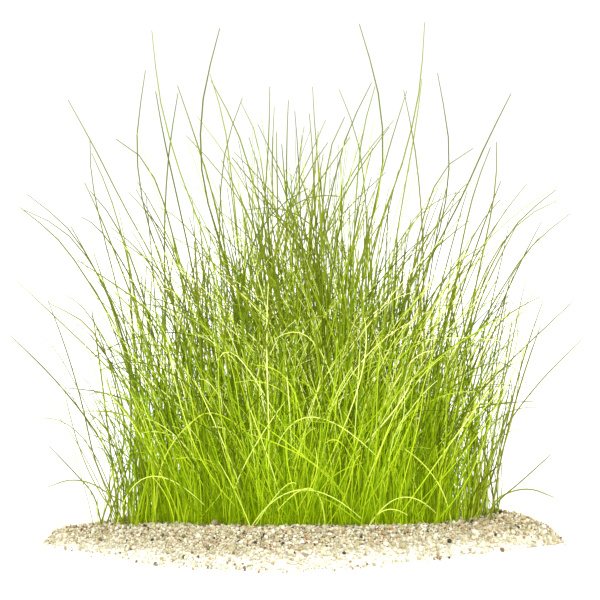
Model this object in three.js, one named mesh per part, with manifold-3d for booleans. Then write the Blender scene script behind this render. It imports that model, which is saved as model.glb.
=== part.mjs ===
// Giant hairgrass (Eleocharis montevidensis): a clump of thin upright culms that grow
// in small tufts from a loose bed of fine gravel.
//
// Millimetres, +Z up. The origin is on the floor under the middle of the bed. The clump
// is seen from the front when looking along +Y, with +X to the right.

import * as THREE from 'three';
import { mergeVertices } from 'three/addons/utils/BufferGeometryUtils.js';
import Module from 'manifold-3d';

const wasm = await Module();
wasm.setup();

// Gravel bed: a low level heap that falls by endDrop towards its ends and steeply at its
// rim, with a small heap on each end
const BED = { length: 314, depth: 168, crest: 18, rim: 1.2, endDrop: 13 };
const BED_TAPER = 0.62; // 0 would be an ellipse: the ends taper to points, as in a lens
const BED_SKEW = 20; // the front edge bulges this far left of the middle
// Waves on the bed's outline: how many go round, height as a share of the radius, phase
const BED_WAVES = [ [ 3, 0.02, 0.6 ], [ 5, 0.014, 2.1 ], [ 11, 0.009, 4 ] ];
const HEAPS = [
	{ x: 142, y: 4, height: 10.5, spreadX: 28, spreadY: 20 },
	{ x: - 150, y: 0, height: 9, spreadX: 14, spreadY: 20 },
];
const HEAP_EDGE = 30; // higher: the heaps keep their height closer to the rim
const RIPPLE = { height: 0.7, alongX: 0.11, alongY: 0.13, phase: 1.3 };
const BED_SECTORS = 48;
const BED_RINGS = [ 0.2, 0.4, 0.58, 0.7, 0.77, 0.83, 0.88, 0.93, 0.97, 1 ];
const PLATEAU = 0.78; // share of the bed's radius that lies inside the rim's slope

// Ground that the grass covers, and the tufts on it
const STAND = { length: 268, depth: 92 };
const TUFT_COUNT = 48;
const CULMS_PER_TUFT = 6;
const CROWN = { radius: 4, above: 2.8, below: 3.6, sides: 6, lift: 0.1 };
const FOOT_RING = 2; // six feet stand on this radius round the foot in the middle
const MOST_CULMS = 7;
const NEAREST_CROWNS = 3; // that a long outer culm may start from

// Culms: three-sided, as wide as a round culm of 1.2 mm at the foot, down to a point
const CULM_FOOT_RADIUS = 0.95;
const CULM_TAPER = 0.62; // below 1 keeps the culm full for most of its length
const CULM_STATIONS = [ 0, 0.28, 0.56, 0.81, 1 ]; // shares of an ordinary culm's curve
const FOOT_DEPTH = 0.3; // foot below the widest level of the crown

// Sizes of the whole clump
const SPREAD_X = 176;
const SPREAD_Y = 116;
const TALLEST = 312;
const MIRROR_LEAN = 0.038; // the right half leans back towards the middle by this slope

const GAP = 0.3; // free space between pieces that nearly touch
const TUFT_GAP = 0.05; // and between the culms of one tuft, which meet in its crown
const GROUND_CLEARANCE = 0.8;
const POCKET_REACH = 1.35; // round its crown, out to this many radii, a culm may be lower

// The other culms: few tall ones, which stand near the middle, and lower ones towards the
// ends and the front and back, where they also lean outwards
const OTHERS = {
	shortest: 158, tallest: 206, rarity: 1.5, // a higher rarity leaves fewer tall ones
	middleRise: 54, middleWidth: 36, // added to the tallest near the middle
	endDrop: 0.2, sideDrop: 0.06, // share of the height lost at the ends and the sides
	endLean: 22, sideLean: 40, // outward lean of the tips there
	strayX: 0.13, strayY: 0.12, // random lean as a share of the height
	bow: [ 0.05, 0.45 ], // share of the lean already reached at the curve's control point
	rise: [ 0.45, 0.6 ], // and of the height
};
const LISTED_STRAY = 0.08; // depth that each further attempt adds for a listed culm
const ATTEMPTS = 400;
const CURVE_CHECKS = 24; // places along a culm at which its height above ground is tested

// Long culms of the left half, which the right half mirrors: depth y of foot and tip,
// foot x, then x and z of three places on the way and of the tip
const LISTED_CULMS = [
	[ - 14, - 22, - 60, - 79, 157, - 108, 213, - 119, 236, - 137, 270 ],
	[ 6, 12, - 98, - 109, 148, - 120, 194, - 125.5, 224, - 126, 244 ],
	[ - 10, - 18, - 88, - 97, 140, - 106, 188, - 115, 218, - 123.5, 238 ],
	[ 2, - 4, - 84, - 95, 132, - 107, 166, - 120, 200, - 128.5, 219 ],
	[ 14, 24, - 72, - 88, 120, - 103, 173, - 114, 196, - 126.5, 211 ],
	[ 18, 30, - 66, - 73, 165, - 84, 209, - 95, 231, - 111, 242 ],
	[ 6, 10, - 66, - 79, 155, - 94, 203, - 98, 240, - 92.5, 285 ],
	[ - 24, - 34, - 38, - 52, 178, - 72, 232, - 82.5, 272, - 87, 312 ],
	[ - 14, - 20, - 30, - 42, 165, - 58.5, 228, - 57.5, 270, - 47.5, 312 ],
	[ 30, 46, - 30, - 36, 150, - 42, 222, - 46.5, 253, - 54.5, 280 ],
	[ 4, 8, - 6, - 15, 160, - 27, 214, - 38, 250, - 53, 279 ],
	[ - 22, - 30, - 44, - 46, 150, - 47.5, 205, - 43, 246, - 34, 272 ],
	[ - 34, - 50, 0, - 14, 155, - 36, 214, - 53, 237, - 66.5, 251.5 ],
	[ 22, 36, 6, - 8, 145, - 28, 203, - 47, 235, - 62, 255 ],
	[ - 6, - 10, - 76, - 80, 140, - 80.5, 200, - 77.5, 242, - 72.5, 273 ],
	[ 12, 20, - 30, - 42, 155, - 55, 218, - 65, 250, - 73.5, 275 ],
	[ - 30, - 46, - 52, - 62, 160, - 72, 212, - 80, 250, - 84.5, 277 ],
	[ 34, 52, - 16, - 18, 140, - 23, 222, - 28, 247, - 36, 262.5 ],
	[ - 8, - 14, 22, 13, 150, - 4, 211, - 16, 236, - 25, 255 ],
	[ - 40, - 64, 24, 12, 140, - 6, 195, - 26, 222, - 39.5, 240 ],
	[ 16, 24, - 20, - 19, 140, - 16.5, 205, - 16.5, 240, - 15.5, 262 ],
	[ - 6, - 14, - 92, - 106, 128, - 122, 168, - 139, 194, - 162, 213 ],
	[ 8, 16, - 90, - 108, 122, - 127, 156, - 147, 184, - 168.5, 202 ],
	[ - 14, - 26, - 80, - 104, 130, - 126, 176, - 143, 195, - 163, 205 ],
	[ - 2, - 4, - 90, - 103, 112, - 116, 152, - 128, 176, - 137, 193 ],
	[ - 28, - 48, - 58, - 70, 105, - 92, 148, - 113, 165, - 131, 178 ],
	[ 16, 32, - 72, - 96, 80, - 122, 108, - 146, 131, - 171.5, 155 ],
	[ 2, 6, - 109, - 113, 44, - 125, 69, - 146, 97, - 174.5, 126 ],
	[ - 8, - 14, - 99, - 104, 70, - 112, 107, - 129, 136, - 150, 148 ],
	[ - 4, - 8, - 114, - 122, 52, - 131, 86, - 141, 118, - 152, 147 ],
	[ 22, 40, - 76, - 86, 90, - 101, 126, - 116, 138, - 128.5, 148 ],
	[ 26, 46, - 56, - 70, 120, - 88, 161, - 103, 178, - 115, 186.5 ],
	[ - 24, - 42, - 50, - 63, 125, - 82, 169, - 97, 182, - 110, 191 ],
	[ 10, 18, - 58, - 66, 140, - 82, 186, - 93, 200, - 103, 211 ],
	[ - 30, - 48, - 70, - 74, 130, - 81, 184, - 86.5, 199, - 92, 210 ],
	[ - 38, - 58, - 40, - 43, 130, - 47, 181, - 51, 195, - 56, 199 ],
	[ - 36, - 54, 20, 12, 150, 1, 186, - 12, 204, - 33, 206 ],
	[ 40, 62, 44, 32, 140, 14, 199, 0, 214, - 13, 222 ],
	[ 28, 34, - 8, - 9, 140, - 8, 205, - 8, 240, - 7, 265 ],
	[ - 2, 0, - 26, - 26, 140, - 21, 210, - 18.5, 250, - 18, 276 ],
	[ 14, 28, - 74, - 80, 55, - 95, 79, - 119, 88, - 142, 90 ],
	[ - 16, - 28, - 84, - 92, 66, - 99, 79, - 112, 84, - 129, 85 ],
	[ - 14, - 22, - 95, - 97, 80, - 101, 108, - 107, 118, - 115, 116 ],
	[ - 22, - 34, - 88, - 90, 60, - 92.5, 93, - 97, 103, - 104, 105 ],
	[ 4, 10, - 117, - 124, 30, - 133, 38, - 143, 47, - 153, 56 ],
	[ - 6, - 10, - 109, - 117, 26, - 127, 31, - 140, 32, - 155, 26 ],
	[ - 46, - 62, - 30, - 22, 33, - 7, 41, 16, 36, 38, 22 ],
	[ - 4, - 40, - 108, - 104, 36, - 88, 45, - 72, 41, - 58, 28 ],
];

// Repeatable random numbers from 0 to 1
let seed = 20731;
function random() {

	seed = ( seed + 0x6d2b79f5 ) | 0;
	let t = Math.imul( seed ^ ( seed >>> 15 ), 1 | seed );
	t = ( t + Math.imul( t ^ ( t >>> 7 ), 61 | t ) ) ^ t;
	return ( ( t ^ ( t >>> 14 ) ) >>> 0 ) / 4294967296;

}

function between( low, high ) {

	return low + ( high - low ) * random();

}

// Bell-shaped spread about 0 with the given standard deviation
function scatter( deviation ) {

	return deviation * ( random() + random() + random() + random() - 2 ) * Math.sqrt( 3 );

}

// Gravel bed

// Outline of the bed as a factor on its smooth lens shape
function outline( angle ) {

	return BED_WAVES.reduce( ( sum, [ count, share, phase ] ) => {

		return sum + share * Math.sin( count * angle + phase );

	}, 1 );

}

// Length of a vector by the measure that makes the lens round
function lensLength( u, v ) {

	return BED_TAPER * Math.abs( v ) + Math.hypot( u, ( 1 - BED_TAPER ) * v );

}

function bedPoint( angle, share ) {

	const reach = share * outline( angle ) / lensLength( Math.cos( angle ), Math.sin( angle ) );
	const v = reach * Math.sin( angle );
	const x = reach * Math.cos( angle ) * BED.length / 2 - BED_SKEW * Math.max( - v, 0 );
	return [ x, v * BED.depth / 2 ];

}

// Level of the gravel above the floor
function groundHeight( x, y ) {

	const v = y / ( BED.depth / 2 );
	const u = ( x + BED_SKEW * Math.max( - v, 0 ) ) / ( BED.length / 2 );
	const share = Math.min( lensLength( u, v ) / outline( Math.atan2( v, u ) ), 1 );
	const dome = 1 - THREE.MathUtils.smoothstep( share, PLATEAU, 1 );
	const top = BED.crest - BED.endDrop * ( 2 * x / BED.length ) ** 2;
	const heaps = HEAPS.reduce( ( sum, heap ) => {

		const reach = Math.hypot( ( x - heap.x ) / heap.spreadX, ( y - heap.y ) / heap.spreadY );
		return sum + heap.height * Math.exp( - reach * reach / 2 );

	}, 0 ) * ( 1 - share ** HEAP_EDGE );
	const wave = Math.sin( x * RIPPLE.alongX + RIPPLE.phase ) * Math.cos( y * RIPPLE.alongY );
	const ripple = RIPPLE.height * wave * ( 1 - share ** 4 );
	return BED.rim + ( top - BED.rim ) * dome + heaps + ripple;

}

function bedGeometry() {

	const positions = [ 0, 0, groundHeight( 0, 0 ) ];
	const index = [];
	const step = 2 * Math.PI / BED_SECTORS;

	for ( const share of BED_RINGS ) {

		for ( let i = 0; i < BED_SECTORS; i ++ ) {

			const [ x, y ] = bedPoint( i * step, share );
			positions.push( x, y, groundHeight( x, y ) );

		}

	}

	const rim = 1 + ( BED_RINGS.length - 1 ) * BED_SECTORS;
	const foot = rim + BED_SECTORS;

	for ( let i = 0; i < BED_SECTORS; i ++ ) {

		positions.push( ...bedPoint( i * step, 1 ), 0 );

	}

	const middle = foot + BED_SECTORS;
	positions.push( 0, 0, 0 );

	for ( let i = 0; i < BED_SECTORS; i ++ ) {

		const next = ( i + 1 ) % BED_SECTORS;
		index.push( 0, 1 + i, 1 + next );
		index.push( middle, foot + next, foot + i );

		for ( let start = 1; start < foot; start += BED_SECTORS ) {

			const outer = start + BED_SECTORS;
			index.push( start + i, outer + i, outer + next );
			index.push( start + i, outer + next, start + next );

		}

	}

	const geometry = new THREE.BufferGeometry();
	geometry.setAttribute( 'position', new THREE.Float32BufferAttribute( positions, 3 ) );
	geometry.setIndex( index );
	return geometry;

}

// Tufts: crowns on a spiral that fills a lens of the same kind as the bed's

// Highest level of the gravel round a crown
function levelAround( x, y ) {

	const levels = [];

	for ( let side = 0; side < CROWN.sides; side ++ ) {

		const angle = side * 2 * Math.PI / CROWN.sides;
		const rimX = x + CROWN.radius * Math.cos( angle );
		const rimY = y + CROWN.radius * Math.sin( angle );
		levels.push( groundHeight( rimX, rimY ) );

	}

	return Math.max( ...levels );

}

function crownPlaces() {

	const goldenAngle = Math.PI * ( 3 - Math.sqrt( 5 ) );
	const places = [];

	for ( let i = 0; i < TUFT_COUNT; i ++ ) {

		const u = Math.cos( i * goldenAngle );
		const v = Math.sin( i * goldenAngle );
		const share = Math.sqrt( ( i + 0.5 ) / TUFT_COUNT ) / lensLength( u, v );
		const x = share * u * STAND.length / 2;
		const y = share * v * STAND.depth / 2;
		places.push( new THREE.Vector3( x, y, levelAround( x, y ) + CROWN.lift ) );

	}

	return places.sort( ( a, b ) => a.x - b.x );

}

// Two six-sided pyramids base to base, scaled up to leave the given gap all round
function crownGeometry( place, gap ) {

	const scale = 1 + gap / Math.min( CROWN.above, CROWN.below ) * Math.SQRT2;
	const profile = [
		new THREE.Vector2( 0, - scale * CROWN.below ),
		new THREE.Vector2( scale * CROWN.radius, 0 ),
		new THREE.Vector2( 0, scale * CROWN.above ),
	];
	const geometry = new THREE.LatheGeometry( profile, CROWN.sides );
	geometry.rotateX( Math.PI / 2 );
	geometry.translate( place.x, place.y, place.z );
	return geometry;

}

// Culms

function culmRadius( share ) {

	return CULM_FOOT_RADIUS * ( 1 - share ) ** CULM_TAPER;

}

// Radius of a culm at each point of the row that its rings are centred on
function culmRadii( points ) {

	const lengths = [ 0 ];

	for ( let i = 1; i < points.length; i ++ ) {

		lengths.push( lengths[ i - 1 ] + points[ i ].distanceTo( points[ i - 1 ] ) );

	}

	return lengths.map( ( length ) => culmRadius( length / lengths.at( - 1 ) ) );

}

// Three-sided body with a ring at each point and a pointed end
function culmGeometry( points ) {

	const positions = [];
	const index = [ 0, 2, 1 ];
	const last = points.length - 1;
	const radii = culmRadii( points );
	const lean = points[ last ].clone().sub( points[ 0 ] ).setZ( 0 ).normalize();
	const across = new THREE.Vector3( - lean.y, lean.x, 0 );

	for ( let i = 0; i < last; i ++ ) {

		const before = points[ Math.max( i - 1, 0 ) ];
		const along = points[ i + 1 ].clone().sub( before ).normalize();
		const outward = new THREE.Vector3().crossVectors( along, across );

		for ( let side = 0; side < 3; side ++ ) {

			const angle = side * 2 * Math.PI / 3;
			const corner = points[ i ].clone()
				.addScaledVector( across, radii[ i ] * Math.cos( angle ) )
				.addScaledVector( outward, radii[ i ] * Math.sin( angle ) );
			positions.push( ...corner );

		}

	}

	positions.push( ...points[ last ] );

	for ( let side = 0; side < 3; side ++ ) {

		const next = ( side + 1 ) % 3;

		for ( let start = 0; start < 3 * ( last - 1 ); start += 3 ) {

			index.push( start + side, start + next, start + 3 + next );
			index.push( start + side, start + 3 + next, start + 3 + side );

		}

		index.push( 3 * ( last - 1 ) + side, 3 * ( last - 1 ) + next, 3 * last );

	}

	const geometry = new THREE.BufferGeometry();
	geometry.setAttribute( 'position', new THREE.Float32BufferAttribute( positions, 3 ) );
	geometry.setIndex( index );
	return geometry;

}

// Finding room for a culm among the others

// Feet of a tuft: one in the middle of the crown and six round it
function footPlaces( place ) {

	const feet = [ new THREE.Vector3() ];

	for ( let i = 0; i < MOST_CULMS - 1; i ++ ) {

		const angle = i * 2 * Math.PI / ( MOST_CULMS - 1 );
		feet.push( new THREE.Vector3( FOOT_RING * Math.cos( angle ), FOOT_RING * Math.sin( angle ), 0 ) );

	}

	return feet.map( ( foot ) => foot.add( place ).setZ( place.z - FOOT_DEPTH ) );

}

const tufts = crownPlaces().map( ( place ) => ( { place, feet: footPlaces( place ), culms: [] } ) );
const crownReach = Math.max( CROWN.radius, CROWN.below );

function segments( points ) {

	const radii = culmRadii( points );
	return points.slice( 1 ).map( ( end, i ) => ( {
		line: new THREE.Line3( points[ i ], end ),
		radius: radii[ i ],
	} ) );

}

function touches( a, b, gap ) {

	const room = a.radius + b.radius + gap;
	return a.line.distanceSqToLine3( b.line ) < room * room;

}

function insideClump( tip ) {

	return Math.abs( tip.x ) < SPREAD_X && Math.abs( tip.y ) < SPREAD_Y && tip.z <= TALLEST;

}

function clearOfGround( points, tuft ) {

	const curve = new THREE.CatmullRomCurve3( points );
	return curve.getPoints( CURVE_CHECKS ).every( ( point ) => {

		const level = groundHeight( point.x, point.y ) + CULM_FOOT_RADIUS + GROUND_CLEARANCE;
		return point.z > level || point.distanceTo( tuft.place ) < POCKET_REACH * crownReach;

	} );

}

// Culms meet nowhere above their crown
function hasRoom( culm, tuft ) {

	const near = new THREE.Vector3();
	return tufts.every( ( other ) => {

		const own = other === tuft;
		const gap = own ? TUFT_GAP : GAP;

		const crownFree = own || culm.parts.every( ( part ) => {

			part.line.closestPointToPoint( other.place, true, near );
			return near.distanceTo( other.place ) > crownReach + part.radius + GAP;

		} );

		return crownFree && other.culms.every( ( standing ) => {

			if ( ! standing.box.intersectsBox( culm.box ) ) return true;
			return ! culm.parts.some( ( a ) => standing.parts.some( ( b ) => touches( a, b, gap ) ) );

		} );

	} );

}

// The culm takes the free foot that lies furthest on the side it leans to
function tryCulm( tuft, pathFrom, tip ) {

	const lean = tip.clone().sub( tuft.place ).setZ( 0 ).normalize();
	const foot = tuft.feet.toSorted( ( a, b ) => b.dot( lean ) - a.dot( lean ) )[ 0 ];
	const points = pathFrom( foot );
	const box = new THREE.Box3().setFromPoints( points ).expandByScalar( CULM_FOOT_RADIUS + GAP );
	const culm = { points, box, parts: segments( points ) };
	const fits = insideClump( tip ) && clearOfGround( points, tuft ) && hasRoom( culm, tuft );

	if ( fits ) {

		tuft.culms.push( culm );
		tuft.feet = tuft.feet.filter( ( one ) => one !== foot );

	}

	return fits;

}

// A listed culm starts at one of the nearest crowns, and gives way in depth if it must
function placeListed( [ footY, tipY, footX, ...places ], mirrored ) {

	const turnOver = ( x, z ) => ( mirrored ? - x - MIRROR_LEAN * z : x );
	const depthSide = mirrored ? - 1 : 1;
	const wanted = new THREE.Vector3( turnOver( footX, 0 ), depthSide * footY, BED.crest );
	const nearest = tufts.filter( ( tuft ) => tuft.feet.length > 0 )
		.sort( ( a, b ) => a.place.distanceTo( wanted ) - b.place.distanceTo( wanted ) )
		.slice( 0, NEAREST_CROWNS );

	for ( let attempt = 0; attempt < ATTEMPTS; attempt ++ ) {

		const tipDepth = depthSide * tipY + scatter( LISTED_STRAY * attempt );
		const pathFrom = ( foot ) => {

			const points = [ foot ];

			for ( let i = 0; i < places.length; i += 2 ) {

				const [ x, z ] = places.slice( i, i + 2 );
				const y = THREE.MathUtils.lerp( foot.y, tipDepth, ( i + 2 ) / places.length );
				points.push( new THREE.Vector3( turnOver( x, z ), y, z ) );

			}

			return points;

		};

		const [ tipX, tipZ ] = places.slice( - 2 );
		const tip = new THREE.Vector3( turnOver( tipX, tipZ ), tipDepth, tipZ );
		if ( tryCulm( nearest[ attempt % nearest.length ], pathFrom, tip ) ) return;

	}

}

// Any other culm stands nearly upright at its foot and leans outwards higher up
function placeOther( tuft ) {

	const sideX = tuft.place.x / ( STAND.length / 2 );
	const sideY = tuft.place.y / ( STAND.depth / 2 );
	const drop = 1 - OTHERS.endDrop * sideX ** 2 - OTHERS.sideDrop * sideY ** 2;
	const middle = Math.exp( - ( ( tuft.place.x / OTHERS.middleWidth ) ** 2 ) );
	const tallest = OTHERS.tallest + OTHERS.middleRise * middle;

	for ( let attempt = 0; attempt < ATTEMPTS; attempt ++ ) {

		const rank = random() ** OTHERS.rarity;
		const height = drop * THREE.MathUtils.lerp( OTHERS.shortest, tallest, rank );
		const leanX = OTHERS.endLean * sideX * Math.abs( sideX ) + scatter( OTHERS.strayX * height );
		const leanY = OTHERS.sideLean * sideY * Math.abs( sideY ) + scatter( OTHERS.strayY * height );
		const tip = new THREE.Vector3( tuft.place.x + leanX, tuft.place.y + leanY, height );
		const bow = between( ...OTHERS.bow );
		const rise = between( ...OTHERS.rise ) * ( height - tuft.place.z );
		const bend = new THREE.Vector3( bow * leanX, bow * leanY, rise );
		const pathFrom = ( foot ) => {

			const curve = new THREE.QuadraticBezierCurve3( foot, foot.clone().add( bend ), tip );
			return CULM_STATIONS.map( ( station ) => curve.getPoint( station ) );

		};

		if ( tryCulm( tuft, pathFrom, tip ) ) return;

	}

}

LISTED_CULMS.forEach( ( culm ) => placeListed( culm, false ) );
LISTED_CULMS.forEach( ( culm ) => placeListed( culm, true ) );

for ( let round = 0; round < CULMS_PER_TUFT; round ++ ) {

	for ( const tuft of tufts.filter( ( one ) => one.culms.length <= round ) ) placeOther( tuft );

}

// Joining and cutting

function solidOf( geometry ) {

	geometry.deleteAttribute( 'normal' );
	geometry.deleteAttribute( 'uv' );
	const merged = mergeVertices( geometry, 1e-4 );
	return new wasm.Manifold( new wasm.Mesh( {
		numProp: 3,
		vertProperties: new Float32Array( merged.attributes.position.array ),
		triVerts: new Uint32Array( merged.index.array ),
	} ) );

}

function meshOf( solid, material, name ) {

	const { vertProperties, triVerts } = solid.getMesh();
	const geometry = new THREE.BufferGeometry();
	geometry.setAttribute( 'position', new THREE.BufferAttribute( vertProperties, 3 ) );
	geometry.setIndex( new THREE.BufferAttribute( triVerts, 1 ) );
	geometry.computeVertexNormals();
	const mesh = new THREE.Mesh( geometry, material );
	mesh.name = name;
	return mesh;

}

const gravel = new THREE.MeshStandardMaterial( { color: 0xe0d6b4, roughness: 0.95, metalness: 0 } );
const culmGreen = new THREE.MeshStandardMaterial( { color: 0x92aa1e, roughness: 0.5, metalness: 0 } );

function buildBed() {

	let bed = solidOf( bedGeometry() );

	for ( const { place } of tufts ) bed = bed.subtract( solidOf( crownGeometry( place, GAP ) ) );

	return meshOf( bed, gravel, 'gravel_bed' );

}

function buildTuft( tuft, number ) {

	let plant = solidOf( crownGeometry( tuft.place, 0 ) );

	for ( const culm of tuft.culms ) plant = plant.add( solidOf( culmGeometry( culm.points ) ) );

	return meshOf( plant, culmGreen, `tuft_${ String( number + 1 ).padStart( 2, '0' ) }` );

}

const group = new THREE.Group();
group.add( buildBed(), ...tufts.map( buildTuft ) );

export default group;
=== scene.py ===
"""Giant hairgrass: about 3,300 round green culms in 48 tufts on a bed of loose gravel.

Metres, +Z up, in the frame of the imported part. The clump is seen from the front when
looking along +Y.
"""

import math
from collections import namedtuple

import bpy
import numpy as np
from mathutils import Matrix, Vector
from mathutils.bvhtree import BVHTree


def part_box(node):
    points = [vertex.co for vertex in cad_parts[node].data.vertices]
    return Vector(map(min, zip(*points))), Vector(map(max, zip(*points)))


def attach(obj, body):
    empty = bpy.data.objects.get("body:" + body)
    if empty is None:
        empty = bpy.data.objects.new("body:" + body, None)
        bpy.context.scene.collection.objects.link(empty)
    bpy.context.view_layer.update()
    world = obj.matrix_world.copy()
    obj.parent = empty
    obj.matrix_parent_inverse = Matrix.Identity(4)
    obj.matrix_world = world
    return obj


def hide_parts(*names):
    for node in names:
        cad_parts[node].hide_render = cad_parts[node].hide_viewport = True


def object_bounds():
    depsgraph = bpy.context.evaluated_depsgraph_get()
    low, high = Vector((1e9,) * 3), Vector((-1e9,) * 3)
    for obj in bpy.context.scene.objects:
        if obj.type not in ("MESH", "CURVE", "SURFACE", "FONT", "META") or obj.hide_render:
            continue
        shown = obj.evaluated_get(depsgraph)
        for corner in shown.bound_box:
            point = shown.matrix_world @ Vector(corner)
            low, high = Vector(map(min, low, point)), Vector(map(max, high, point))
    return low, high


bl_info = {
    "name": "Giant hairgrass",
    "version": (1, 0, 0),
    "blender": (4, 5, 0),
    "location": "View3D > Sidebar > Hairgrass",
    "description": "Clump of round grass-like culms on a bed of fine gravel",
    "category": "Object",
}

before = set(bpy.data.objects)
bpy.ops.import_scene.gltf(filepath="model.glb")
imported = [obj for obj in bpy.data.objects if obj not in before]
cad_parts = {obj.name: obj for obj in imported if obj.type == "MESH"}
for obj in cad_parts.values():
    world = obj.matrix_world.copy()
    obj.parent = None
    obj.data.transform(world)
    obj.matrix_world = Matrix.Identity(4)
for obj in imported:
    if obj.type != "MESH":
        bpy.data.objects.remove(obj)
CAD_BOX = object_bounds()

MM = 0.001
CULM_SEED = 1000
GRAIN_SEED = 7
BODY = "root"
BED_NODE = "gravel_bed"
TUFT_NODES = sorted(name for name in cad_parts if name.startswith("tuft_"))


def linear(code):
    """Linear colour of an sRGB hex code."""
    parts = [int(code[i:i + 2], 16) / 255 for i in (1, 3, 5)]
    return tuple(p / 12.92 if p <= 0.04045 else ((p + 0.055) / 1.055) ** 2.4 for p in parts)


# Sizes, counts and colours that a user may change


def length(name, description, default):
    """A size in metres."""
    return bpy.props.FloatProperty(name=name, description=description, default=default,
                                   unit="LENGTH")


def number(name, description, default):
    """A whole number of things."""
    return bpy.props.IntProperty(name=name, description=description, default=default)


def hex_colour(name, description, code):
    """A colour, from its sRGB hex code."""
    return bpy.props.FloatVectorProperty(name=name, description=description,
                                         default=linear(code), subtype="COLOR")


class CulmSettings(bpy.types.PropertyGroup):
    """Sizes, numbers and colours of the culms."""

    width: length("Culm width", "Thickness of a culm at half its length", 0.86 * MM)
    foot_width: length("Foot width", "Thickness of a culm at its foot", 0.98 * MM)
    tip_width: length("Tip width", "Thickness of a culm just below its point", 0.42 * MM)
    filling: number("Filling culms", "Shorter culms that fill the whole stand", 1960)
    fanned: number("Fanned culms", "Tall culms that lean out to the stand's ends", 180)
    crossing: number("Crossing culms", "Thin young culms that lean across the others", 600)
    fine: number("Fine culms", "Thin tall culms in the middle of the stand", 110)
    arched: number("Arched culms", "Old culms that bow over towards the gravel", 130)
    shade_colour: hex_colour("Dark culms", "The oldest green culms", "#3f4c02")
    green_colour: hex_colour("Green culms", "Most of the culms", "#7f9c00")
    young_colour: hex_colour("Young culms", "The fresh yellow-green culms", "#b8cc24")
    pale_colour: hex_colour("Pale culms", "The bleached culms", "#efef98")
    dark_tip_colour: hex_colour("Dark tips", "What dark culms turn to with age", "#4a5400")
    olive_tip_colour: hex_colour("Olive tips", "What green culms turn to with age", "#767a1a")
    straw_tip_colour: hex_colour("Straw tips", "What pale culms turn to with age", "#d6d47c")


class GravelSettings(bpy.types.PropertyGroup):
    """Sizes and numbers of the gravel grains."""

    grain: length("Grain size", "Mean width of a gravel grain", 1.6 * MM)
    spacing: length("Grain spacing", "Mean distance between grains in the open", 1.3 * MM)
    hidden_spacing: length("Hidden spacing", "Mean distance between grains under the grass",
                           2.0 * MM)
    stray: length("Stray reach", "How far single grains lie outside the bed", 11 * MM)
    near_strays: number("Grains at the rim", "Single grains close round the bed", 900)
    far_strays: number("Strays", "Single grains further out", 60)


class StageSettings(bpy.types.PropertyGroup):
    """Place and view of the camera."""

    distance: length("Camera distance", "From the camera to the clump", 2.6)
    elevation: bpy.props.FloatProperty(
        name="Camera elevation", description="Angle of the camera above the floor",
        default=math.radians(7.5), subtype="ANGLE")
    view_width: length("View width", "Width of the picture at the clump", 0.360)
    aim_height: length("Aim height", "Height above the floor of the picture's middle", 0.148)


# Meshes

# Points of the frame that are nearer to each other than this are one
SAME_PLACE = 0.002 * MM


def mesh_piece(name, points, faces, material, smooth, **attributes):
    """A mesh object on the body, with one number per point for each named attribute."""
    mesh = bpy.data.meshes.new(name)
    sizes = np.array([len(face) for face in faces])
    corners = np.concatenate(faces)
    mesh.vertices.add(len(points))
    mesh.vertices.foreach_set("co", np.asarray(points, dtype=np.float32).ravel())
    mesh.loops.add(len(corners))
    mesh.loops.foreach_set("vertex_index", corners.astype(np.int32))
    mesh.polygons.add(len(sizes))
    starts = np.concatenate([[0], np.cumsum(sizes)[:-1]]).astype(np.int32)
    mesh.polygons.foreach_set("loop_start", starts)
    mesh.polygons.foreach_set("use_smooth", np.full(len(sizes), smooth))
    mesh.update(calc_edges=True)
    for key, values in attributes.items():
        layer = mesh.attributes.new(key, "FLOAT", "POINT")
        layer.data.foreach_set("value", np.asarray(values, dtype=np.float32))
    mesh.validate()
    mesh.materials.append(material)
    piece = bpy.data.objects.new(name, mesh)
    bpy.context.scene.collection.objects.link(piece)
    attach(piece, BODY)
    return piece


def frame_mesh(node):
    """Points and triangles of a frame node, with the points that share a place joined."""
    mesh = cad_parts[node].data
    points = np.empty(len(mesh.vertices) * 3)
    mesh.vertices.foreach_get("co", points)
    points = points.reshape(-1, 3)
    mesh.calc_loop_triangles()
    triangles = np.empty(len(mesh.loop_triangles) * 3, dtype=np.int32)
    mesh.loop_triangles.foreach_get("vertices", triangles)
    keys = np.round(points / SAME_PLACE).astype(np.int64)
    _, first, joined = np.unique(keys, axis=0, return_index=True, return_inverse=True)
    return points[first], joined.ravel()[triangles].reshape(-1, 3)


# Guide culms: the centre lines of the frame's own culms

RING_SIDES = 3
GUIDE_POINTS = 24


def neighbours(triangles, count):
    """For each point the set of points that it shares an edge with."""
    around = [set() for _ in range(count)]
    for a, b, c in triangles:
        around[a].update((b, c))
        around[b].update((a, c))
        around[c].update((a, b))
    return around


def smooth_line(stations, count):
    """A smooth line of count points through the stations, evenly spread over its length."""
    steps = np.linalg.norm(np.diff(stations, axis=0), axis=1)
    knots = np.concatenate([[0], np.cumsum(steps)]) / steps.sum()
    slopes = np.gradient(stations, knots, axis=0)
    at = np.linspace(0, 1, count)
    cell = np.clip(np.searchsorted(knots, at, side="right") - 1, 0, len(knots) - 2)
    width = (knots[cell + 1] - knots[cell])[:, None]
    t = (at[:, None] - knots[cell][:, None]) / width
    start, end = stations[cell], stations[cell + 1]
    leave, arrive = slopes[cell] * width, slopes[cell + 1] * width
    return ((2 * t**3 - 3 * t**2 + 1) * start + (t**3 - 2 * t**2 + t) * leave
            + (3 * t**2 - 2 * t**3) * end + (t**3 - t**2) * arrive)


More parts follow.
